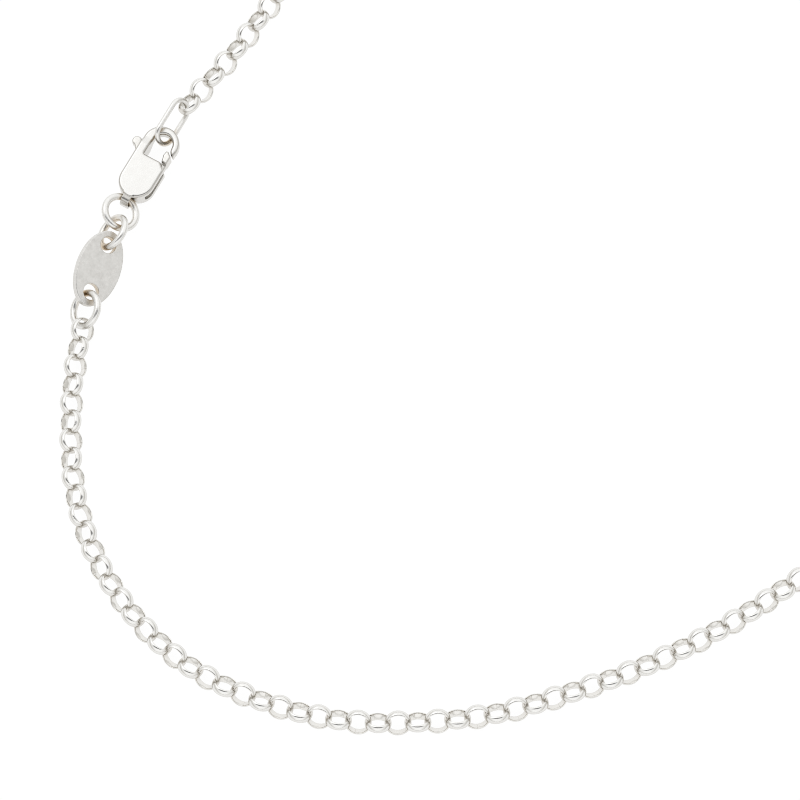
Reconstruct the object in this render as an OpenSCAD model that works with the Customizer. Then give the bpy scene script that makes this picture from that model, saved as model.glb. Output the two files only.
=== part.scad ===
// A rolo chain necklace: round belcher links, a lobster clasp with a sprung lever, three jump rings, an oval
// tag and an oval end link. It lies as a closed loop on a surface at Z = 0, fastened at its clasp.

/* [Chain] */
// Length of the chain, from the tag's lower jump ring to the end link
chain_run = 418; // [380:1:460]
// Outside diameter of a round link
link_od = 3.3; // [2.9:0.1:4]
// Thickness of a link's band, from its bore to its crown
link_wall = 0.36; // [0.3:0.02:0.44]
// Width of a link's band
link_w = 1.04; // [0.8:0.02:1.2]
// Slack between the bands of two linked links
link_play = 0.16; // [0.12:0.02:0.3]

/* [Tag] */
// Length of the oval tag
tag_len = 10.2; // [9:0.1:12]
// Width of the oval tag
tag_w = 5.8; // [5:0.1:6.6]
// Thickness of the tag
tag_t = 1; // [0.7:0.1:1.2]
// Metal between each hole and its end of the tag
tag_margin = 0.8; // [0.6:0.1:1]
// Play of a jump ring's wire in a tag hole
tag_hole_play = 1.2; // [1:0.1:1.5]

/* [Jump rings] */
// Outside diameter of a jump ring
ring_od = 5.2; // [4.8:0.1:6]
// Wire of a jump ring
ring_wire = 0.9; // [0.7:0.05:1]

/* [End link] */
// Length of the oval end link
end_len = 7; // [6.4:0.1:9]
// Width of the end link
end_w = 3.6; // [3.4:0.1:4]
// Wire of the end link
end_wire = 0.6; // [0.5:0.05:0.7]

/* [Clasp body] */
// Width of the clasp's shank
shank_w = 4.7; // [4.4:0.1:5.2]
// Length from the foot of the shank to the middle of the hook
shank_len = 8.3; // [8.3:0.1:10]
// Thickness of the shank
shank_t = 2.5; // [2.3:0.1:3]
// Width across the hook
hook_w = 4.8; // [4.6:0.1:5.4]
// Thickness of the hook
hook_t = 1.2; // [1:0.1:1.3]
// Width of the mouth between the hook and the shank's wall
mouth_w = 2.54; // [2.3:0.02:2.7]
// Height of the mouth, from its floor to the middle of its round end
mouth_h = 2.45; // [2.2:0.05:2.6]
// Outside width of the eye across the jump ring
eye_w = 1.1; // [0.9:0.1:1.4]
// Metal around the eye's hole
eye_wall = 0.3; // [0.26:0.02:0.4]

/* [Clasp lever] */
// Thickness of the lever between the shank's cheeks
lever_t = 0.9; // [0.7:0.1:1.1]
// Clearance between the lever and each cheek
lever_play = 0.1; // [0.08:0.02:0.16]
// Radius of the lever's hub around the pin
hub_r = 1; // [0.9:0.05:1.1]
// Width of the arm that carries the thumb nub
arm_w = 0.8; // [0.6:0.1:1]
// Radius of the thumb nub
nub_r = 0.65; // [0.5:0.05:0.8]
// Thickness of the gate outside the cheeks
gate_t = 1.8; // [1.2:0.1:2]
// Furthest swing of the lever
lever_swing = 22; // [18:1:24]
// Diameter of the pin
pin_d = 0.8; // [0.6:0.05:1]
// Clearance of the pin in the cheeks, each side
pin_fit = 0.02; // [0.01:0.01:0.04]
// Clearance of the pin in the lever, each side
pin_run = 0.08; // [0.05:0.01:0.1]

/* [Hidden] */
$fn = 48;
silver = [0.87, 0.86, 0.84];
// How far a hole's tool runs past the metal at each end
past = 1;

// Gap between the surface and a piece that rests on it
rest_gap = 0.05;
// Half of a band's section, as shares of the wall from the bore out and of the band's half width
band_section = [[0, 0.4], [0.36, 1], [1, 0.76]];
// Roll of each link to one side of upright, so that linked links cross squarely
link_roll = 45;

// The way the loop lies, from the tag's end round to the clasp's end: a few chosen points, the length of chain
// that lies along them, and the point by the clasp that a longer or shorter loop grows from
CHAIN_ROUTE = [[-69.6, -21.5], [-70.1, -28], [-69.6, -37.5], [-67, -46.5], [-61.6, -55], [-54.5, -61.4],
               [-45.6, -65.6], [-36, -67.9], [-26.5, -68.1], [-17, -67], [-7.6, -64.3], [1.4, -61],
               [9.9, -56.8], [18.1, -51.7], [32, -42], [43, -33], [53, -23], [62, -12], [70, 0], [75, 13],
               [77.4, 28], [75.4, 42], [70.2, 55], [61, 66.3], [49, 73.8], [35, 77.3], [21, 77.3], [7, 73],
               [-6, 67], [-17, 58.5], [-28, 48.5], [-37, 38], [-45.9, 26], [-50.2, 19.7]];
ROUTE_RUN = 418;
route_root = [-60, 0];
route_samples = 8;

// Sizes of the link, the rings and the end link that others hang from
link_ro = link_od / 2;
link_ri = link_ro - link_wall;
link_pitch = link_od - 2 * link_wall - link_play;
link_rise = max([for (p = band_section)
    (link_ri + p[0] * link_wall) * sin(link_roll) + p[1] * link_w / 2 * cos(link_roll)]);
ring_r = (ring_od - ring_wire) / 2;
end_tip = (end_len - end_wire) / 2;

// Tag: its place, the heading of its long axis and its tilt about that axis
tag_az = 72;
tag_tilt = 32;
tag_rise = tag_w / 2 * sin(tag_tilt) + tag_t / 2 * cos(tag_tilt) + 2 * rest_gap;
tag_pos = [-67.2, -10.3, tag_rise];
tag_hole_d = ring_wire + tag_hole_play;
tag_hole_at = tag_len / 2 - tag_margin - tag_hole_d / 2;

// Jump rings: heading from the piece that carries them, heading that their axis leans to, and its tilt
upper_heading = 68.6;
upper_lean = 156.9;
upper_tilt = 44.2;
upper_pull = 0.217;
clasp_ring_heading = 71.2;
clasp_ring_lean = 5;
clasp_ring_tilt = 29.5;
clasp_ring_lift = 0.34;
clasp_ring_slack = 0.547;
lower_heading = 258.7;
lower_lean = 180.1;
lower_tilt = 39.7;
lower_push = 0.165;

// Clasp: heading from its ring, heading of its own length, and its height over the surface
clasp_heading = 67.6;
clasp_az = 61;
clasp_seat = 0.132;
clasp_lift = 0.1;

// End link: where its lower end lies past the mouth's middle, how far left of it, and its roll
end_in_mouth = 0.06;
end_lift = 1.55;
end_left = 0.22;
end_roll = 56.6;

// First and last links of the chain in the lower jump ring and in the end link
first_heading = 262.1;
first_slack = 0.365;
last_past_tip = 0.05;
last_aside = 0.665;

function heading(a) = [cos(a), sin(a), 0];
function flat(p) = [p.x, p.y];
function at_height(p, z) = [p.x, p.y, z];
function ring_rise(tilt) = ring_r * sin(tilt) + ring_wire / 2 + rest_gap;

upper_hole = tag_pos + tag_hole_at * heading(tag_az);
lower_hole = tag_pos - tag_hole_at * heading(tag_az);
upper_pos = at_height(upper_hole + (ring_r - upper_pull) * heading(upper_heading), ring_rise(upper_tilt));
lower_pos = at_height(lower_hole + (ring_r + lower_push) * heading(lower_heading), ring_rise(lower_tilt));
clasp_ring_pos = at_height(upper_pos + (2 * ring_r - ring_wire - clasp_ring_slack) * heading(clasp_ring_heading),
                           ring_rise(clasp_ring_tilt) + clasp_ring_lift);
clasp_pos = at_height(clasp_ring_pos + (ring_r + clasp_seat) * heading(clasp_heading), clasp_lift);

// Clasp, in its own frame: X runs from the shank's foot to the hook, Y to its left, Z up from its lower face
shank_r = shank_w / 2;
hook_r = hook_w / 2;
mouth_r = mouth_w / 2;
mouth_y = -0.235;
mouth_top = shank_len + 0.1;
mouth_floor = mouth_top - mouth_h;
mouth_left = mouth_y + mouth_r;
mouth_right = mouth_y - mouth_r;
neck_x = shank_len - 0.1;
mid_z = shank_t / 2;
hook_lift = 0.1;
hook_low = mid_z - hook_t / 2 + hook_lift;
neck_slope = 1;
slot_t = lever_t + 2 * lever_play;
pivot = [shank_r - 0.15, -0.9];
pin_r = pin_d / 2;
hub_room = 0.15;
arm_room = 0.12;
nub_at = [mouth_top - 1.15, shank_r + 0.55];
arm_turn = atan2(nub_at.y - pivot.y, nub_at.x - pivot.x);
arm_reach = norm(nub_at - pivot);
gate_clear = 0.22;
gate_foot_r = norm([mouth_floor, mouth_right + 0.15] - pivot) + gate_clear;
// The hook's slanted lip, from its outer corner in to the mouth
lip = [[mouth_top - 0.96, 0.21 - hook_r], [mouth_top - 0.76, mouth_right - 0.345],
       [mouth_top - 0.44, mouth_right - 0.085]];
// The gate's outline, from its outer foot round its head
gate_edge = 0.2 - shank_r;
gate_head = [[mouth_top - 3.3, gate_edge], [lip[0].x - 0.24, gate_edge], [lip[1].x - 0.19, lip[1].y + 0.02],
             [lip[2].x - 0.21, lip[2].y + 0.09], [lip[2].x - 0.28, mouth_right + 0.285],
             [mouth_top - 1.32, mouth_right + 0.385], [mouth_top - 2.13, mouth_right + 0.165],
             [mouth_top - 3.1, mouth_right]];
// The eye at the foot: a slotted hole for the jump ring's wire, across the clasp
eye_hole_r = ring_wire / 2 + 0.17;
eye_hole_long = 0.66;
eye_x = -0.27;
eye_z = mid_z + 0.1;

end_pos = clasp_pos + (mouth_top + end_in_mouth + end_tip) * heading(clasp_az) + end_left * heading(clasp_az + 90)
    + [0, 0, end_lift];
end_link_tip = end_pos + end_tip * heading(clasp_az);
first_link = lower_pos + (ring_r + link_ri - ring_wire / 2 - first_slack) * heading(first_heading);
last_link = end_link_tip + last_past_tip * heading(clasp_az) - (link_ri - last_aside) * heading(clasp_az + 90);

// The route as a smooth curve through its points, and the length run at each sample
route = concat([flat(first_link)], [for (p = CHAIN_ROUTE) route_root + (p - route_root) * chain_run / ROUTE_RUN],
               [flat(last_link)]);
route_end = len(route) - 1;
function route_at(i) = i < 0 ? 2 * route[0] - route[1]
    : i > route_end ? 2 * route[route_end] - route[route_end - 1] : route[i];
function smooth(a, b, c, d, t) =
    (2 * b + (c - a) * t + (2 * a - 5 * b + 4 * c - d) * t * t + (3 * b - a - 3 * c + d) * t * t * t) / 2;
curve = [for (i = [0 : route_end - 1], k = [0 : route_samples - 1])
    smooth(route_at(i - 1), route[i], route[i + 1], route_at(i + 2), k / route_samples), route[route_end]];
run = [for (i = 0, s = 0; i < len(curve);
            s = s + (i + 1 < len(curve) ? norm(curve[i + 1] - curve[i]) : 0), i = i + 1) s];
run_x = [for (i = [0 : len(curve) - 1]) [run[i], curve[i].x]];
run_y = [for (i = [0 : len(curve) - 1]) [run[i], curve[i].y]];
chain_len = run[len(run) - 1];

// An odd number of steps, so that the first and last links lean opposite ways
link_steps = 2 * ceil((chain_len / link_pitch - 1) / 2) + 1;
link_at = [for (i = [0 : link_steps]) let (s = i * chain_len / link_steps)
    [lookup(s, run_x), lookup(s, run_y), link_rise]];
half_way = (link_steps - 1) / 2;
function link_heading(i) = let (d = link_at[min(i + 1, link_steps)] - link_at[max(i - 1, 0)]) atan2(d.y, d.x);

// The origin is the middle of the loop, on the surface
loop_x = [for (p = link_at) p.x];
loop_y = [for (p = link_at) p.y];
middle = [(min(loop_x) + max(loop_x)) / 2, (min(loop_y) + max(loop_y)) / 2, 0];

module in_loop(pos, turn = [0, 0, 0]) {
    translate(pos - middle) rotate(turn) children();
}

module link_band() {
    half = [for (p = band_section) [link_ri + p[0] * link_wall, p[1] * link_w / 2]];
    other = [for (i = [len(half) - 1 : -1 : 0]) [half[i].x, -half[i].y]];
    rotate_extrude() polygon(concat(half, other));
}

module links(from, to) {
    for (i = [from : to])
        in_loop(link_at[i], [i % 2 == 0 ? -link_roll : link_roll, 0, link_heading(i)]) link_band();
}

module chain_tag_side() {
    color(silver) links(0, half_way);
}

module chain_clasp_side() {
    color(silver) links(half_way + 1, link_steps);
}

module wire_ring() {
    rotate_extrude() translate([ring_r, 0]) circle(d = ring_wire);
}

module clasp_ring() {
    color(silver) in_loop(clasp_ring_pos, [0, clasp_ring_tilt, clasp_ring_lean]) wire_ring();
}

module tag_ring_upper() {
    color(silver) in_loop(upper_pos, [0, upper_tilt, upper_lean]) wire_ring();
}

module tag_ring_lower() {
    color(silver) in_loop(lower_pos, [0, lower_tilt, lower_lean]) wire_ring();
}

module tag() {
    sides = 64;
    oval = [for (i = [0 : sides - 1])
        [tag_len / 2 * cos(i * 360 / sides), tag_w / 2 * sin(i * 360 / sides)]];
    color(silver)
        in_loop(tag_pos, [tag_tilt, 0, tag_az])
            difference() {
                translate([0, 0, -tag_t / 2]) linear_extrude(tag_t) polygon(oval);
                for (side = [-1, 1])
                    translate([side * tag_hole_at, 0, -tag_t]) cylinder(d = tag_hole_d, h = 2 * tag_t);
            }
}

module end_link() {
    bend_r = (end_w - end_wire) / 2;
    straight = end_tip - bend_r;
    color(silver)
        in_loop(end_pos, [end_roll, 0, clasp_az])
            for (turn = [0, 180])
                rotate([0, 0, turn]) {
                    translate([straight, 0, 0]) rotate([0, 0, -90])
                        rotate_extrude(angle = 180) translate([bend_r, 0]) circle(d = end_wire);
                    translate([-straight, bend_r, 0]) rotate([0, 90, 0])
                        cylinder(d = end_wire, h = 2 * straight);
                }
}

module clasp_outline() {
    difference() {
        union() {
            translate([shank_r, 0]) circle(r = shank_r);
            translate([shank_r, -shank_r]) square([shank_len - shank_r, shank_w]);
            translate([shank_len, 0]) circle(r = hook_r);
        }
        translate([mouth_top, mouth_y]) circle(r = mouth_r);
        translate([mouth_floor, mouth_right]) square([mouth_h, mouth_w]);
        polygon([[mouth_floor, mouth_right + 0.15], [mouth_floor - 0.85, -shank_r],
                 [mouth_floor - 0.85, -hook_w], [lip[0].x, -hook_w], lip[0], lip[1], lip[2],
                 [mouth_top, mouth_right], [mouth_top, mouth_y], [mouth_floor, mouth_y]]);
    }
}

// A slot of the eye's hole, or the eye around it with a root that runs into the shank, across the clasp
module eye_slot(r, w, root = 0) {
    translate([eye_x, w / 2, eye_z])
        rotate([90, 0, 0])
            linear_extrude(w) {
                for (side = [-1, 1]) translate([0, side * eye_hole_long / 2]) circle(r = r);
                translate([-r, -eye_hole_long / 2]) square([2 * r, eye_hole_long]);
                if (root > 0) translate([0, 0.05 - r - eye_hole_long / 2])
                    square([root, 2 * r + eye_hole_long - 0.1]);
            }
}

// What comes off the shank's end so that it slopes from its face at Z = face down to the hook's at Z = end
module neck_cut(face, end) {
    fall = (end - face) / neck_slope;
    out = face + (face > end ? past : -past);
    translate([0, shank_w, 0])
        rotate([90, 0, 0])
            linear_extrude(2 * shank_w)
                polygon([[neck_x - neck_slope - past, face - fall * past], [neck_x + past, end + fall * past],
                         [neck_x + past, out], [neck_x - neck_slope - past, out - fall * past]]);
}

module clasp_shank() {
    difference() {
        linear_extrude(shank_t)
            intersection() {
                clasp_outline();
                union() {
                    translate([0, -shank_w]) square([mouth_floor + 0.2, 2 * shank_w]);
                    square([neck_x, shank_w]);
                }
            }
        neck_cut(shank_t, hook_low + hook_t);
        neck_cut(0, hook_low);
    }
}

module clasp_hook() {
    translate([0, 0, hook_low])
        linear_extrude(hook_t)
            intersection() {
                clasp_outline();
                translate([mouth_floor + 0.5, -hook_w]) square([2 * hook_w, 2 * hook_w]);
            }
}

module lever_slot() {
    cheek_out = shank_r + 0.25;
    open_turn = arm_turn + lever_swing;
    room = arm_w / 2 + arm_room;
    rest_side = pivot - room * [-sin(arm_turn), cos(arm_turn)];
    open_side = pivot + room * [-sin(open_turn), cos(open_turn)];
    function out_to(from, turn, y) = from + (y - from.y) / sin(turn) * [cos(turn), sin(turn)];
    translate([0, 0, mid_z - slot_t / 2])
        linear_extrude(slot_t) {
            polygon([[pivot.x - hub_r - hub_room, -cheek_out], [mouth_floor + 0.2, -cheek_out],
                     [mouth_floor + 0.2, mouth_left - 0.03], out_to(rest_side, arm_turn, mouth_left),
                     out_to(rest_side, arm_turn, cheek_out), out_to(open_side, open_turn, cheek_out),
                     open_side, [pivot.x - hub_r - hub_room, pivot.y]]);
            translate(pivot) circle(r = hub_r + hub_room);
            translate(nub_at) circle(r = nub_r + arm_room);
        }
}

module clasp_body() {
    color(silver)
        in_loop(clasp_pos, [0, 0, clasp_az])
            difference() {
                union() {
                    clasp_shank();
                    clasp_hook();
                    eye_slot(eye_hole_r + eye_wall, eye_w, 1.2);
                }
                eye_slot(eye_hole_r, shank_w);
                lever_slot();
                translate([pivot.x, pivot.y, -past]) cylinder(r = pin_r + pin_fit, h = shank_t + 2 * past);
            }
}

module clasp_lever() {
    arm = arm_reach * [cos(arm_turn), sin(arm_turn)];
    side = arm_w / 2 * [-sin(arm_turn), cos(arm_turn)];
    color(silver)
        in_loop(clasp_pos, [0, 0, clasp_az])
            difference() {
                union() {
                    translate([0, 0, mid_z - lever_t / 2])
                        linear_extrude(lever_t) {
                            translate(pivot) circle(r = hub_r);
                            translate(nub_at) circle(r = nub_r);
                            polygon([pivot + side, pivot - side, nub_at - side, nub_at + side]);
                            polygon(concat([pivot + [0, hub_r * 0.4], pivot - [0, hub_r]], gate_head));
                        }
                    translate([0, 0, mid_z - gate_t / 2])
                        linear_extrude(gate_t)
                            difference() {
                                polygon(gate_head);
                                translate(pivot) circle(r = gate_foot_r);
                            }
                }
                translate([pivot.x, pivot.y, -past]) cylinder(r = pin_r + pin_run, h = shank_t + 2 * past);
            }
}

module clasp_pin() {
    color(silver)
        in_loop(clasp_pos, [0, 0, clasp_az])
            translate([pivot.x, pivot.y, 0]) cylinder(r = pin_r, h = shank_t);
}

chain_tag_side();
chain_clasp_side();
end_link();
clasp_body();
clasp_lever();
clasp_pin();
clasp_ring();
tag_ring_upper();
tag();
tag_ring_lower();
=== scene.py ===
"""Looks of the rolo chain necklace: polished band links, cast lobster clasp, jump rings, satin tag."""
import math
import random

import bmesh
import bpy
import numpy as np
from mathutils import Matrix, Vector
from mathutils.bvhtree import BVHTree
from mathutils.kdtree import KDTree


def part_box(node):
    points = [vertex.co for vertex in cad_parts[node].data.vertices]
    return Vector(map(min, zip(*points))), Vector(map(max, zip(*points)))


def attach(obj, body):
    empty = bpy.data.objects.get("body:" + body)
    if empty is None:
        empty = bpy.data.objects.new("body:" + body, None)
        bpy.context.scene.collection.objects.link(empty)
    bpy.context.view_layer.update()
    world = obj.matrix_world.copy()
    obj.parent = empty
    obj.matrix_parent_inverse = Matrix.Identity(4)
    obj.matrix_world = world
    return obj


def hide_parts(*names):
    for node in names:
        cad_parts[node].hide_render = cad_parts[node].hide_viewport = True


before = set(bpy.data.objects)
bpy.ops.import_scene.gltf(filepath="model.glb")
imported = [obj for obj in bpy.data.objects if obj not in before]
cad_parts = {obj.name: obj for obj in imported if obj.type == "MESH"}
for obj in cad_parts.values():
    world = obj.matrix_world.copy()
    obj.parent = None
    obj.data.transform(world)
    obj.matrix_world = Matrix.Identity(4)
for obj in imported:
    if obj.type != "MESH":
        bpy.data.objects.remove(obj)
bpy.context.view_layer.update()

MM = 0.001
UP = Vector((0, 0, 1))
rng = random.Random(11)

# Camera: long lens over the near left part of the loop, as steep as in the photo
CAMERA_AIM = Vector((-32.65, -31.78, 0.0)) * MM
CAMERA_ELEVATION = math.radians(74)
CAMERA_DISTANCE = 377 * MM
CAMERA_LENS = 135
CAMERA_SENSOR = 36
CAMERA_NEAR, CAMERA_FAR = 0.01, 10
PIXEL_FILTER = 1.0

# The white tent: its roof and ends, its two sides, its foot round the table, and the dark slot over the object
TENT_STRENGTH = 1.14
TENT_WHITE = (0.97, 0.97, 0.97)
TENT_SIDE = (0.62, 0.61, 0.585)
TENT_FOOT = (0.47, 0.465, 0.45)
TENT_HOLE = (0.2, 0.2, 0.2)
HOLE_HALF_WIDTH = 0.75
HOLE_HALF_DEPTH = 0.3

# Where those parts of the tent blend: the sides by how far they face along X, and over the next height into the
# roof, the foot by height, and the slot by the distance from its middle in half sizes
SIDE_BLEND = (0.35, 0.95)
ROOF_BLEND = (0.3, 0.7)
FOOT_BLEND = (0.0, 0.16)
HOLE_BLEND = (0.5, 1.3)

# One soft light from the upper left, and the table, most of whose white is its own glow
SOFTBOX_PLACE = (-0.45, 0.35, 0.75)
SOFTBOX_SIZE = 0.5
SOFTBOX_POWER = 0.3
TABLE_HALF = 0.9
TABLE_TONES = ((0.08, 0.08, 0.08), (0.1, 0.1, 0.1))
TABLE_PATCH = 0.02
TABLE_GLOW = 0.94
TABLE_ROUGHNESS = 0.8
TABLE_SPECULAR = 0.1

# Tones of the silver, and those it turns to: in bores (partly tarnish, partly painted shade), painted shade low on
# flanks, where links meet and in recesses, and darker in seams
SILVER = (0.85, 0.845, 0.825)
SILVER_SHADE = (0.8, 0.79, 0.765)
CAST_SILVER = (0.815, 0.81, 0.79)
CAST_SHADE = (0.775, 0.765, 0.74)
LEVER_SILVER = (0.84, 0.83, 0.8)
LEVER_SHADE = (0.775, 0.76, 0.725)
TAG_SILVER = (0.77, 0.76, 0.738)
TAG_SHADE = (0.63, 0.62, 0.597)
# Warmer in bores: partly tarnish, partly painted shade from the link's own reflections
BORE_TARNISH_AND_SHADE = (0.84, 0.825, 0.79)
# Painted shade low on the flanks, where the surface turns downward
FLANK_PAINTED_SHADE = (0.62, 0.6, 0.565)
# Painted shade where links meet
CONTACT_SHADE_TONE = (0.56, 0.52, 0.46)
# Painted shade in recesses, for links and wires, and greyer for the castings
RECESS_PAINTED_SHADE = (0.64, 0.54, 0.41)
CAST_RECESS_PAINTED_SHADE = (0.58, 0.565, 0.535)
SEAM_TONE = (0.3, 0.27, 0.23)

# How much of each tone shows. Pairs run from clear to clouded metal, or from outside to inside a link.
CLOUD_SHARE = 0.5
BORE_SHARE = (0.55, 1.0)
FLANK_SHADE_SHARE = 0.62
CONTACT_SHADE_SHARE = (0.3, 0.8)
SEAM_SHARE = 0.4

# Noises of the silver: the part of their range in use, features per millimetre, and their effect
CLOUD_RANGE = (0.35, 0.7)
CLOUD_DETAIL = 4.0
POLISH_SCALE = 2.5
POLISH_RANGE = (0.3, 0.7)
POLISH_SPREAD = (0.75, 1.3)
GRAIN_STRENGTH = 0.35
WAVE_SCALE = 1.3
WAVE_STRENGTH = 0.6

# Masks, each as a start and a span: how far a normal leans from upright (painted shade on flanks), the share of
# rays that meet metal (painted shade in recesses), the depth in a band's wall towards its bore, and how near a
# column of the band is to the next link (painted shade where links meet)
LOW_SHADE_MASK = (0.15, 0.8)
RECESS_SHADE_MASK = (0.15, 0.6)
BORE_MASK = (0.45, 0.4)
CONTACT_SHADE_MASK = (0.72, 0.22)

# Rays that find the painted shade in recesses, and the passes that even it out
RECESS_RAYS = 16
RECESS_REACH = 3.0 * MM
RECESS_LIFT = 0.03 * MM
RECESS_PASSES = 4
RECESS_POWER = 1.3
GOLDEN_ANGLE = 2.399963

# Links: bore radius, wall, half width, and half of the band's section as shares of the wall and of the half
# width: from the middle of the bore to its edge, and from there a half-round crown to the outer face's middle
LINK_BORE = 1.29 * MM
LINK_WALL = 0.36 * MM
LINK_HALF_WIDTH = 0.52 * MM
BAND_BORE = [(0.0, 0.0), (0.015, 0.4), (0.05, 0.7), (0.1, 0.88), (0.17, 0.965)]
BAND_EDGE = 0.25
CROWN_STEPS = 7
LINK_COLUMNS = 42
LINK_LEAN = 0.02

# A link's solder seam: its half angle, its depth, how much narrower the band is there, its angles from the run
# of the chain, the share of seams on the low side, and the share of tone that it keeps outside the bore
SEAM_HALF_ANGLE = 0.03
SEAM_DEPTH = 0.02 * MM
SEAM_PINCH = 0.04
SEAM_TURN = (0.8, 1.8)
SEAM_LOW_SHARE = 0.7
SEAM_BORE = 0.6
SEAM_OUTSIDE = 0.15

# Wires: thickness, sides, and steps round a jump ring, round an end of the end link and along its straights
RING_WIRE = 0.9 * MM
END_WIRE = 0.66 * MM
WIRE_SIDES = 24
RING_STEPS = 120
BEND_STEPS = 28
RAIL_STEPS = 8

# The clasp lies flat with its length at this heading; the tag's long axis heads here and tilts by this much
CLASP_HEADING = math.radians(61)
TAG_HEADING = math.radians(72)
TAG_TILT = math.radians(32)

# Remeshing of the castings and the tag: voxel in millimetres and passes of smoothing
BODY_MESH = (0.05, 5)
LEVER_MESH = (0.05, 4)
TAG_MESH = (0.06, 3)
SMOOTH_FACTOR = 0.5
WELD = 0.0005 * MM

# The riveted pin is drawn this much wider, so that it closes with the cheeks
PIN_SWELL = 1.1

# The middle of the shank's round foot from the pin, along and across the clasp, and its radius
FOOT_FROM_PIN = (0.15 * MM, 0.9 * MM, 0.0)
FOOT_RADIUS = 2.35 * MM

# Rolled edges: their radii and most share of the layer, the layer's thickness that counts and how far in it is
# measured, the lean and the lift of a wall that is open to the sky, and the share that depth has in a distance
BODY_ROLL = 0.36 * MM
LEVER_ROLL = 0.25 * MM
ROLL_MOST = 0.6
LAYER_THIN, LAYER_THICK = 0.1 * MM, 0.9 * MM
LAYER_INSET = 0.12 * MM
LAYER_SKIN = 0.01 * MM
SKY = 10 * MM
WALL_LEAN = 0.35
WALL_LIFT = 0.06 * MM
DEPTH_SHARE = 0.3


def share(value, start, span):
    return min(1.0, max(0.0, (value - start) / span))


def points_of(node):
    """The node's distinct vertices, rounded to a hundred-thousandth of a millimetre, and its faces."""
    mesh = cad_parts[node].data
    co = np.empty(len(mesh.vertices) * 3)
    mesh.vertices.foreach_get("co", co)
    keys, back = np.unique(np.round(co.reshape(-1, 3), 8), axis=0, return_inverse=True)
    back = back.reshape(-1)
    return keys, [[int(back[v]) for v in p.vertices] for p in mesh.polygons]


def islands(node):
    """The loose parts of a node, as arrays of points."""
    pts, faces = points_of(node)
    parent = list(range(len(pts)))

    def root(i):
        while parent[i] != i:
            parent[i] = parent[parent[i]]
            i = parent[i]
        return i

    for f in faces:
        first = root(f[0])
        for v in f[1:]:
            other = root(v)
            if other != first:
                parent[other] = first
    groups = {}
    for i in range(len(pts)):
        groups.setdefault(root(i), []).append(i)
    return [pts[g] for g in groups.values()]


def spread_axes(pts):
    """The axes of a cloud of points as columns, the one of least spread first."""
    return np.linalg.eigh(np.cov((pts - pts.mean(axis=0)).T))[1]


def disc_pose(pts):
    """Middle and upward axis of a ring-like cloud of points."""
    middle = (pts.min(axis=0) + pts.max(axis=0)) / 2
    axis = spread_axes(pts)[:, 0]
    return Vector(middle), Vector(axis * (1 if axis[2] > 0 else -1))


def box_middle(node):
    low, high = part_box(node)
    return (Vector(low) + Vector(high)) / 2


def add_object(name, data):
    thing = bpy.data.objects.new(name, data)
    bpy.context.scene.collection.objects.link(thing)
    return thing


def dress(piece, material, body, *nodes):
    """Smooth shading, material and body of a piece, and the nodes that it stands for."""
    piece.data.polygons.foreach_set("use_smooth", [True] * len(piece.data.polygons))
    piece.data.materials.clear()
    piece.data.materials.append(material)
    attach(piece, body)
    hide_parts(*nodes)


def mesh_object(name, verts, faces, material, body, node):
    mesh = bpy.data.meshes.new(name)
    mesh.from_pydata([tuple(v) for v in verts], [], faces)
    mesh.update()
    piece = add_object(name, mesh)
    dress(piece, material, body, node)
    return piece


def point_values(piece, name, values):
    layer = piece.data.attributes.new(name, "FLOAT", "POINT")
    layer.data.foreach_set("value", np.asarray(values, dtype=np.float32))


def low_shade_mask(piece):
    """How far each point's surface turns from upright to downward: the mask of painted shade low on its flanks."""
    normals = np.empty(len(piece.data.vertices) * 3, dtype=np.float32)
    piece.data.vertex_normals.foreach_get("vector", normals)
    start, span = LOW_SHADE_MASK
    point_values(piece, "low", np.clip((1 - normals.reshape(-1, 3)[:, 2] - start) / span, 0, 1))


def recess_shade_mask(piece, around):
    """The share of rays from each point that soon meet metal, evened out over neighbouring points: the mask of
    painted shade in recesses.
    """
    directions = []
    for i in range(RECESS_RAYS):
        up = math.sqrt((i + 0.5) / RECESS_RAYS)
        turn = i * GOLDEN_ANGLE
        flat = math.sqrt(1 - up * up)
        directions.append((flat * math.cos(turn), flat * math.sin(turn), up))
    mesh = piece.data
    found = np.zeros(len(mesh.vertices))
    for i, v in enumerate(mesh.vertices):
        normal = mesh.vertex_normals[i].vector
        side = normal.orthogonal().normalized()
        other = normal.cross(side)
        start = v.co + normal * RECESS_LIFT
        hits = 0
        for a, b, c in directions:
            if around.ray_cast(start, side * a + other * b + normal * c, RECESS_REACH)[0] is not None:
                hits += 1
        found[i] = hits / RECESS_RAYS
    edges = np.empty(len(mesh.edges) * 2, dtype=np.int64)
    mesh.edges.foreach_get("vertices", edges)
    a, b = edges.reshape(-1, 2).T
    for _ in range(RECESS_PASSES):
        total, count = found.copy(), np.ones(len(found))
        np.add.at(total, a, found[b])
        np.add.at(total, b, found[a])
        np.add.at(count, a, 1)
        np.add.at(count, b, 1)
        found = total / count
    start, span = RECESS_SHADE_MASK
    point_values(piece, "recess_shade", np.clip((found - start) / span, 0, 1) ** RECESS_POWER)


def metal_around(nodes):
    verts, faces = [], []
    for node in nodes:
        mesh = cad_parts[node].data
        start = len(verts)
        verts += [v.co.copy() for v in mesh.vertices]
        faces += [[start + i for i in p.vertices] for p in mesh.polygons]
    return BVHTree.FromPolygons(verts, faces)


def finish(piece):
    """Painted-shade masks of a fitting: darker low on its flanks and in its recesses. Points that round_over sank
    under the solid's own edge count as recessed, which paints the dark line of shade round the casting's rim."""
    low_shade_mask(piece)
    recess_shade_mask(piece, FITTINGS)


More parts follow.
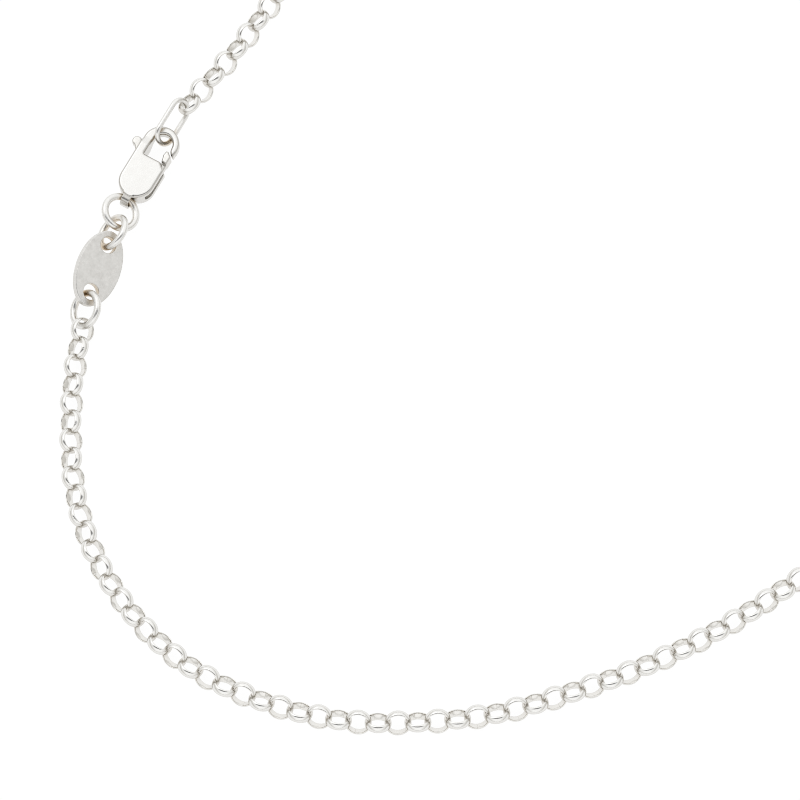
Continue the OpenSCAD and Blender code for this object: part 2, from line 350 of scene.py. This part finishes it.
class Nodes:
    """Short way to wire the nodes of a material or world."""

    def __init__(self, tree):
        self.tree = tree

    def add(self, kind):
        return self.tree.nodes.new(kind)

    def link(self, a, b):
        self.tree.links.new(a, b)

    def coords(self, space):
        return self.add("ShaderNodeTexCoord").outputs[space]

    def math(self, operation, a, b=None):
        node = self.add("ShaderNodeMath")
        node.operation = operation
        for socket, value in zip(node.inputs, (a, b)):
            if isinstance(value, (int, float)):
                socket.default_value = value
            elif value is not None:
                self.link(value, socket)
        return node.outputs[0]

    def mix(self, factor, a, b):
        node = self.add("ShaderNodeMix")
        node.data_type = "RGBA"
        for socket, value in ((node.inputs[0], factor), (node.inputs[6], a), (node.inputs[7], b)):
            if isinstance(value, tuple):
                socket.default_value = (*value, 1.0)
            else:
                self.link(value, socket)
        return node.outputs[2]

    def noise(self, coords, scale, detail=2.0, stretch=(1, 1, 1)):
        """Noise whose scale is in features per millimetre."""
        mapping = self.add("ShaderNodeMapping")
        mapping.inputs["Scale"].default_value = [1 / MM * s for s in stretch]
        self.link(coords, mapping.inputs["Vector"])
        node = self.add("ShaderNodeTexNoise")
        node.inputs["Scale"].default_value = scale
        node.inputs["Detail"].default_value = detail
        self.link(mapping.outputs[0], node.inputs["Vector"])
        return node.outputs["Fac"]

    def ramp(self, value, low, high, out_low=0.0, out_high=1.0):
        node = self.add("ShaderNodeMapRange")
        for i, v in enumerate((low, high, out_low, out_high)):
            node.inputs[i + 1].default_value = v
        self.link(value, node.inputs[0])
        return node.outputs[0]

    def bump(self, height, strength, distance):
        node = self.add("ShaderNodeBump")
        node.inputs["Strength"].default_value = strength
        node.inputs["Distance"].default_value = distance
        self.link(height, node.inputs["Height"])
        return node

    def attribute(self, name):
        node = self.add("ShaderNodeAttribute")
        node.attribute_name = name
        return node.outputs["Fac"]


def new_material(name):
    material = bpy.data.materials.new(name)
    material.use_nodes = True
    return material, Nodes(material.node_tree), material.node_tree.nodes["Principled BSDF"]


def silver(name, colour, shade, roughness, grain, grain_depth, stretch=(1, 1, 1), wave_depth=0.0,
           deep=RECESS_PAINTED_SHADE, patch=0.9):
    """Metal with clouded tone, uneven polish, fine grain and shallow waves. Shade is painted into its colour where
    the piece's masks say: low on its flanks, in its recesses and where links meet. In bores it is warmer, partly
    tarnish and partly painted shade, and it is darker where links are soldered."""
    material, n, shader = new_material(name)
    shader.inputs["Metallic"].default_value = 1.0
    coords = n.coords("Object")
    cloud = n.ramp(n.noise(coords, patch, CLOUD_DETAIL), *CLOUD_RANGE)
    inner = n.attribute("inner")
    bore = n.math("MULTIPLY", inner, n.ramp(cloud, 0.0, 1.0, *BORE_SHARE))
    # Painted shade where links meet, stronger deeper in the bore
    contact_shade = n.math("MULTIPLY", n.attribute("contact_shade"), n.ramp(inner, 0.0, 1.0, *CONTACT_SHADE_SHARE))
    base = n.mix(n.math("MULTIPLY", cloud, CLOUD_SHARE), colour, shade)
    # Warmer in bores, partly tarnish and partly painted shade
    base = n.mix(bore, base, BORE_TARNISH_AND_SHADE)
    # Painted shade low on the flanks, by the low mask
    base = n.mix(n.math("MULTIPLY", n.attribute("low"), FLANK_SHADE_SHARE), base, FLANK_PAINTED_SHADE)
    base = n.mix(contact_shade, base, CONTACT_SHADE_TONE)
    # Painted shade in recesses, by the share of rays that meet metal
    base = n.mix(n.attribute("recess_shade"), base, deep)
    base = n.mix(n.math("MULTIPLY", n.attribute("seam"), SEAM_SHARE), base, SEAM_TONE)
    n.link(base, shader.inputs["Base Color"])
    spread = [roughness * s for s in POLISH_SPREAD]
    n.link(n.ramp(n.noise(coords, POLISH_SCALE), *POLISH_RANGE, *spread), shader.inputs["Roughness"])
    bump = n.bump(n.noise(coords, grain, 3.0, stretch), GRAIN_STRENGTH, grain_depth)
    if wave_depth:
        wave = n.bump(n.noise(coords, WAVE_SCALE), WAVE_STRENGTH, wave_depth)
        n.link(wave.outputs[0], bump.inputs["Normal"])
    n.link(bump.outputs[0], shader.inputs["Normal"])
    return material


link_silver = silver("link_silver", SILVER, SILVER_SHADE, 0.17, 3.0, 0.004 * MM, wave_depth=0.02 * MM)
wire_silver = silver("wire_silver", SILVER, SILVER_SHADE, 0.27, 2.0, 0.012 * MM, wave_depth=0.03 * MM)
# The castings take the greyer painted shade in their recesses
clasp_silver = silver("clasp_silver", CAST_SILVER, CAST_SHADE, 0.22, 6.0, 0.008 * MM, wave_depth=0.006 * MM,
                      deep=CAST_RECESS_PAINTED_SHADE)
lever_silver = silver("lever_silver", LEVER_SILVER, LEVER_SHADE, 0.28, 3.5, 0.02 * MM, deep=CAST_RECESS_PAINTED_SHADE)
tag_satin = silver("tag_satin", TAG_SILVER, TAG_SHADE, 0.36, 9.0, 0.01 * MM, stretch=(1, 0.35, 1), patch=1.0)


def ring_frame(axis, towards):
    """Two directions in the ring's plane, the first one nearest to towards."""
    first = towards - axis * towards.dot(axis)
    first.normalize()
    return first, axis.cross(first)


def chain_order(places, start):
    """Indices of the links from the one nearest to start, each next one being the nearest left."""
    left = set(range(len(places)))
    here = start
    order = []
    while left:
        nearest = min(left, key=lambda i: (places[i] - here).length_squared)
        left.remove(nearest)
        order.append(nearest)
        here = places[nearest]
    return order


def band_section():
    """The closed section of a band as (radius, offset along the axis, share of bore)."""
    shares = list(BAND_BORE)
    for i in range(CROWN_STEPS + 1):
        t = math.pi / 2 * i / CROWN_STEPS
        shares.append((BAND_EDGE + (1 - BAND_EDGE) * math.sin(t), math.cos(t)))
    half = [(LINK_BORE + r * LINK_WALL, a * LINK_HALF_WIDTH, 1 - r) for r, a in shares]
    other = [(r, -a, bore) for r, a, bore in half[-2:0:-1]]
    return half + other


def link_columns(seam):
    """Angles of a link's columns from its seam on, three close ones at the seam, and the share of seam of each."""
    step = 2 * math.pi / LINK_COLUMNS
    columns = [(seam + step * (i + 0.5), 0.0) for i in range(LINK_COLUMNS)]
    columns += [(seam - SEAM_HALF_ANGLE, 0.0), (seam, 1.0), (seam + SEAM_HALF_ANGLE, 0.0)]
    return sorted(columns, key=lambda c: (c[0] - seam) % (2 * math.pi))


def grid_faces(start, rows, across):
    """Faces of a closed grid of points, row by row, as (here, next across, next row across, next row)."""
    for i in range(rows):
        row, after = start + i * across, start + (i + 1) % rows * across
        for k in range(across):
            beside = (k + 1) % across
            yield row + k, row + beside, after + beside, after + k


def add_link(out, place, axis, towards, seam):
    section = band_section()
    middle = LINK_BORE + LINK_WALL / 2
    first, second = ring_frame(axis, towards)
    columns = link_columns(seam)
    start = len(out["verts"])
    for angle, sunk in columns:
        radial = first * math.cos(angle) + second * math.sin(angle)
        for radius, offset, bore in section:
            pull = SEAM_DEPTH * sunk * (1 if radius > middle else -1)
            out["verts"].append(place + radial * (radius - pull) + axis * offset * (1 - SEAM_PINCH * sunk))
            out["inner"].append(share(bore, *BORE_MASK))
            out["seam"].append(sunk if bore > SEAM_BORE else SEAM_OUTSIDE * sunk)
            # Painted shade towards the next links, at both ends of the link's run
            out["contact_shade"].append(share(abs(math.cos(angle)), *CONTACT_SHADE_MASK))
    out["faces"] += grid_faces(start, len(columns), len(section))


def make_chain():
    """Both chain nodes, each as one mesh of its links where the solids are."""
    out, places, axes, owner = {}, [], [], []
    for node in ("chain_tag_side", "chain_clasp_side"):
        out[node] = {part: [] for part in ("verts", "faces", "inner", "seam", "contact_shade")}
        for points in islands(node):
            place, axis = disc_pose(points)
            places.append(place)
            axes.append(axis)
            owner.append(node)
    order = chain_order(places, box_middle("tag_ring_lower"))
    for k, i in enumerate(order):
        before = places[order[max(k - 1, 0)]]
        after = places[order[min(k + 1, len(order) - 1)]]
        along = (after - before).normalized()
        lean = Vector([rng.uniform(-LINK_LEAN, LINK_LEAN) for _ in range(3)])
        axis = (axes[i] + lean).normalized()
        low_side = -1.0 if ring_frame(axis, along)[1].z > 0 else 1.0
        seam = low_side * rng.uniform(*SEAM_TURN) * (1 if rng.random() < SEAM_LOW_SHARE else -1)
        add_link(out[owner[i]], places[i], axis, along, seam)
    for node, data in out.items():
        piece = mesh_object(node + "_links", data["verts"], data["faces"], link_silver, "necklace", node)
        # Masks of the links: bores, seams and painted shade where links meet, then painted shade low on the flanks
        for mask in ("inner", "seam", "contact_shade"):
            point_values(piece, mask, data[mask])
        low_shade_mask(piece)


def make_wire(name, path, wire, node):
    """A round wire along a closed path of points in one plane."""
    count = len(path)
    middle = sum(path, Vector()) / count
    normal = (path[0] - middle).cross(path[count // 4] - middle).normalized()
    verts = []
    for i, p in enumerate(path):
        tangent = (path[(i + 1) % count] - path[i - 1]).normalized()
        out = tangent.cross(normal).normalized()
        for k in range(WIRE_SIDES):
            t = 2 * math.pi * k / WIRE_SIDES
            verts.append(p + (out * math.cos(t) + normal * math.sin(t)) * wire / 2)
    faces = [(a, d, c, b) for a, b, c, d in grid_faces(0, count, WIRE_SIDES)]
    finish(mesh_object(name, verts, faces, wire_silver, "necklace", node))


def make_jump_ring(node):
    pts = points_of(node)[0]
    middle, axis = disc_pose(pts)
    radius = max(np.linalg.norm(pts - np.array(middle), axis=1)) - RING_WIRE / 2
    first, second = ring_frame(axis, Vector((1, 0, 0)))
    path = []
    for i in range(RING_STEPS):
        t = 2 * math.pi * i / RING_STEPS
        path.append(middle + (first * math.cos(t) + second * math.sin(t)) * radius)
    make_wire(node + "_wire", path, RING_WIRE, node)


def make_end_link():
    pts = points_of("end_link")[0]
    middle, axis = disc_pose(pts)
    long_way = Vector(spread_axes(pts)[:, 2])
    across = axis.cross(long_way)
    rel = pts - np.array(middle)
    half_long = np.abs(rel @ np.array(long_way)).max() - END_WIRE / 2
    half_wide = np.abs(rel @ np.array(across)).max() - END_WIRE / 2
    straight = half_long - half_wide
    path = []
    for side in (1, -1):
        for i in range(BEND_STEPS + 1):
            t = -math.pi / 2 + math.pi * i / BEND_STEPS
            path.append(middle + long_way * side * (straight + half_wide * math.cos(t))
                        + across * side * half_wide * math.sin(t))
        for i in range(1, RAIL_STEPS):
            x = straight * (1 - 2 * i / RAIL_STEPS)
            path.append(middle + long_way * side * x + across * side * half_wide)
    make_wire("end_link_wire", path, END_WIRE, "end_link")


def swell(part):
    """Widens an upright pin by the clearance around it, so that it fuses with what it sits in."""
    middle = sum((v.co for v in part.verts), Vector()) / len(part.verts)
    for v in part.verts:
        v.co.x = middle.x + (v.co.x - middle.x) * PIN_SWELL
        v.co.y = middle.y + (v.co.y - middle.y) * PIN_SWELL


def rounded_solid(nodes, turn, voxel, passes, name, material, body):
    """The nodes' own form as one, with softened edges: remeshed in its own level frame and smoothed. The nodes
    after the first are pins that are swollen into it."""
    to_work = Matrix.Scale(1 / MM, 4) @ turn.inverted() @ Matrix.Translation(-box_middle(nodes[0]))
    whole = bmesh.new()
    for node in nodes:
        part = bmesh.new()
        part.from_mesh(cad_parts[node].data)
        bmesh.ops.remove_doubles(part, verts=part.verts, dist=WELD)
        bmesh.ops.transform(part, matrix=to_work, verts=part.verts)
        if node != nodes[0]:
            swell(part)
        mesh = bpy.data.meshes.new(node + "_part")
        part.to_mesh(mesh)
        part.free()
        whole.from_mesh(mesh)
        bpy.data.meshes.remove(mesh)
    mesh = bpy.data.meshes.new(name + "_work")
    whole.to_mesh(mesh)
    whole.free()
    work = add_object(name + "_work", mesh)
    remesh = work.modifiers.new("remesh", "REMESH")
    remesh.mode = "VOXEL"
    remesh.voxel_size = voxel
    remesh.use_smooth_shade = True
    smooth = work.modifiers.new("smooth", "SMOOTH")
    smooth.factor = SMOOTH_FACTOR
    smooth.iterations = passes
    bpy.context.view_layer.update()
    made = bpy.data.meshes.new_from_object(work.evaluated_get(bpy.context.evaluated_depsgraph_get()))
    made.transform(to_work.inverted())
    bpy.data.objects.remove(work)
    piece = add_object(name, made)
    dress(piece, material, body, *nodes)
    return piece


def round_over(piece, radius, inside_foot=None):
    """Rolls the upper edges of a casting over: a point of its top layer sinks by how near it is, in plan, to
    a side wall that is open to the sky. The layer is what a drop from above goes through first. With
    inside_foot, a point's distance inside the round foot, the edge runs on there over what joins the foot."""
    mesh = piece.data
    solid = BVHTree.FromPolygons([v.co for v in mesh.vertices], [p.vertices[:] for p in mesh.polygons])
    normals = [n.vector.copy() for n in mesh.vertex_normals]
    walls = [v.co.copy() for v, n in zip(mesh.vertices, normals)
             if abs(n.z) < WALL_LEAN and solid.ray_cast(v.co + n * WALL_LIFT, UP)[0] is None]
    tree = KDTree(len(walls))
    for i, co in enumerate(walls):
        tree.insert((co.x, co.y, co.z * DEPTH_SHARE), i)
    tree.balance()
    for v, n in zip(mesh.vertices, normals):
        above = Vector((v.co.x - n.x * LAYER_INSET, v.co.y - n.y * LAYER_INSET, SKY))
        top = solid.ray_cast(above, -UP)[0]
        if top is None:
            continue
        under = solid.ray_cast(top - UP * LAYER_SKIN, -UP)[0]
        thick = min(LAYER_THICK, top.z - under.z) if under is not None else 0.0
        if thick <= LAYER_THIN or v.co.z <= top.z - thick:
            continue
        roll = min(radius, ROLL_MOST * thick)
        wall = walls[tree.find((v.co.x, v.co.y, v.co.z * DEPTH_SHARE))[1]]
        inside = min(roll, math.hypot(v.co.x - wall.x, v.co.y - wall.y))
        if inside_foot is not None:
            inside = min(inside, inside_foot(v.co))
        sunk = roll - math.sqrt(roll ** 2 - (roll - inside) ** 2)
        v.co.z -= sunk * min(1.0, (v.co.z - top.z + thick) / thick)
    mesh.update()


def make_clasp():
    """The body with its pin, whose eye is cut level with the plate after its masks are drawn, and the lever."""
    turn = Matrix.Rotation(CLASP_HEADING, 4, "Z")
    foot = box_middle("clasp_pin") + turn @ Vector(FOOT_FROM_PIN)
    length = turn @ Vector((1, 0, 0))

    def inside_foot(co):
        if (co - foot).dot(length) > 0:
            return FOOT_RADIUS
        return max(0.0, FOOT_RADIUS - math.hypot(co.x - foot.x, co.y - foot.y))

    body = rounded_solid(["clasp_body", "clasp_pin"], turn, *BODY_MESH, "clasp_body_cast", clasp_silver,
                         "necklace")
    round_over(body, BODY_ROLL, inside_foot)
    finish(body)
    pin_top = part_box("clasp_pin")[1][2]
    for v in body.data.vertices:
        v.co.z = min(v.co.z, pin_top)
    body.data.update()
    lever = rounded_solid(["clasp_lever"], turn, *LEVER_MESH, "clasp_lever_cast", lever_silver, "lever")
    round_over(lever, LEVER_ROLL)
    finish(lever)


def make_tag():
    turn = Matrix.Rotation(TAG_HEADING, 4, "Z") @ Matrix.Rotation(TAG_TILT, 4, "X")
    finish(rounded_solid(["tag"], turn, *TAG_MESH, "tag_plate", tag_satin, "necklace"))


def make_table():
    """A plain white table that glows, as an over-lit table top does."""
    corners = [(x * TABLE_HALF, y * TABLE_HALF, 0) for x, y in ((-1, -1), (1, -1), (1, 1), (-1, 1))]
    mesh = bpy.data.meshes.new("table")
    mesh.from_pydata(corners, [], [(0, 1, 2, 3)])
    material, n, shader = new_material("table_white")
    n.link(n.mix(n.noise(n.coords("Object"), TABLE_PATCH), *TABLE_TONES), shader.inputs["Base Color"])
    shader.inputs["Roughness"].default_value = TABLE_ROUGHNESS
    shader.inputs["Specular IOR Level"].default_value = TABLE_SPECULAR
    shader.inputs["Emission Color"].default_value = (1, 1, 1, 1)
    shader.inputs["Emission Strength"].default_value = TABLE_GLOW
    mesh.materials.append(material)
    add_object("table", mesh)


def make_light():
    """White tent with darker sides and foot and a dark slot overhead, and one large soft light."""
    world = bpy.data.worlds.new("tent")
    world.use_nodes = True
    bpy.context.scene.world = world
    n = Nodes(world.node_tree)
    way = n.coords("Generated")
    parts = n.add("ShaderNodeSeparateXYZ")
    n.link(way, parts.inputs[0])
    aside = n.math("ABSOLUTE", parts.outputs["X"])
    tent = n.mix(n.ramp(aside, *SIDE_BLEND), TENT_WHITE, TENT_SIDE)
    tent = n.mix(n.ramp(parts.outputs["Z"], *ROOF_BLEND), tent, TENT_WHITE)
    tent = n.mix(n.ramp(parts.outputs["Z"], *FOOT_BLEND), TENT_FOOT, tent)
    off = n.add("ShaderNodeVectorMath")
    off.operation = "DOT_PRODUCT"
    n.link(way, off.inputs[0])
    off.inputs[1].default_value = (0, math.sin(CAMERA_ELEVATION), math.cos(CAMERA_ELEVATION))
    wide = n.math("POWER", n.math("MULTIPLY", aside, 1 / HOLE_HALF_WIDTH), 2)
    deep = n.math("ABSOLUTE", off.outputs["Value"])
    deep = n.math("POWER", n.math("MULTIPLY", deep, 1 / HOLE_HALF_DEPTH), 2)
    tent = n.mix(n.ramp(n.math("ADD", wide, deep), *HOLE_BLEND), TENT_HOLE, tent)
    background = world.node_tree.nodes["Background"]
    n.link(tent, background.inputs["Color"])
    background.inputs["Strength"].default_value = TENT_STRENGTH

    light = bpy.data.lights.new("softbox", "AREA")
    light.shape = "SQUARE"
    light.size = SOFTBOX_SIZE
    light.energy = SOFTBOX_POWER
    lamp = add_object("softbox", light)
    lamp.location = SOFTBOX_PLACE
    lamp.rotation_euler = (CAMERA_AIM - Vector(SOFTBOX_PLACE)).to_track_quat("-Z", "Y").to_euler()


def make_camera():
    data = bpy.data.cameras.new("camera")
    data.lens = CAMERA_LENS
    data.sensor_width = CAMERA_SENSOR
    data.clip_start = CAMERA_NEAR
    data.clip_end = CAMERA_FAR
    camera = add_object("camera", data)
    away = Vector((0, -math.cos(CAMERA_ELEVATION), math.sin(CAMERA_ELEVATION)))
    camera.location = CAMERA_AIM + away * CAMERA_DISTANCE
    camera.rotation_euler = (-away).to_track_quat("-Z", "Y").to_euler()
    bpy.context.scene.camera = camera


FITTINGS = metal_around(["clasp_body", "clasp_lever", "clasp_ring", "tag_ring_upper", "tag", "tag_ring_lower",
                         "end_link"])

make_camera()
make_chain()
for ring in ("clasp_ring", "tag_ring_upper", "tag_ring_lower"):
    make_jump_ring(ring)
make_end_link()
make_clasp()
make_tag()
make_table()
make_light()
bpy.context.scene.view_settings.view_transform = "Standard"
bpy.context.scene.cycles.filter_width = PIXEL_FILTER
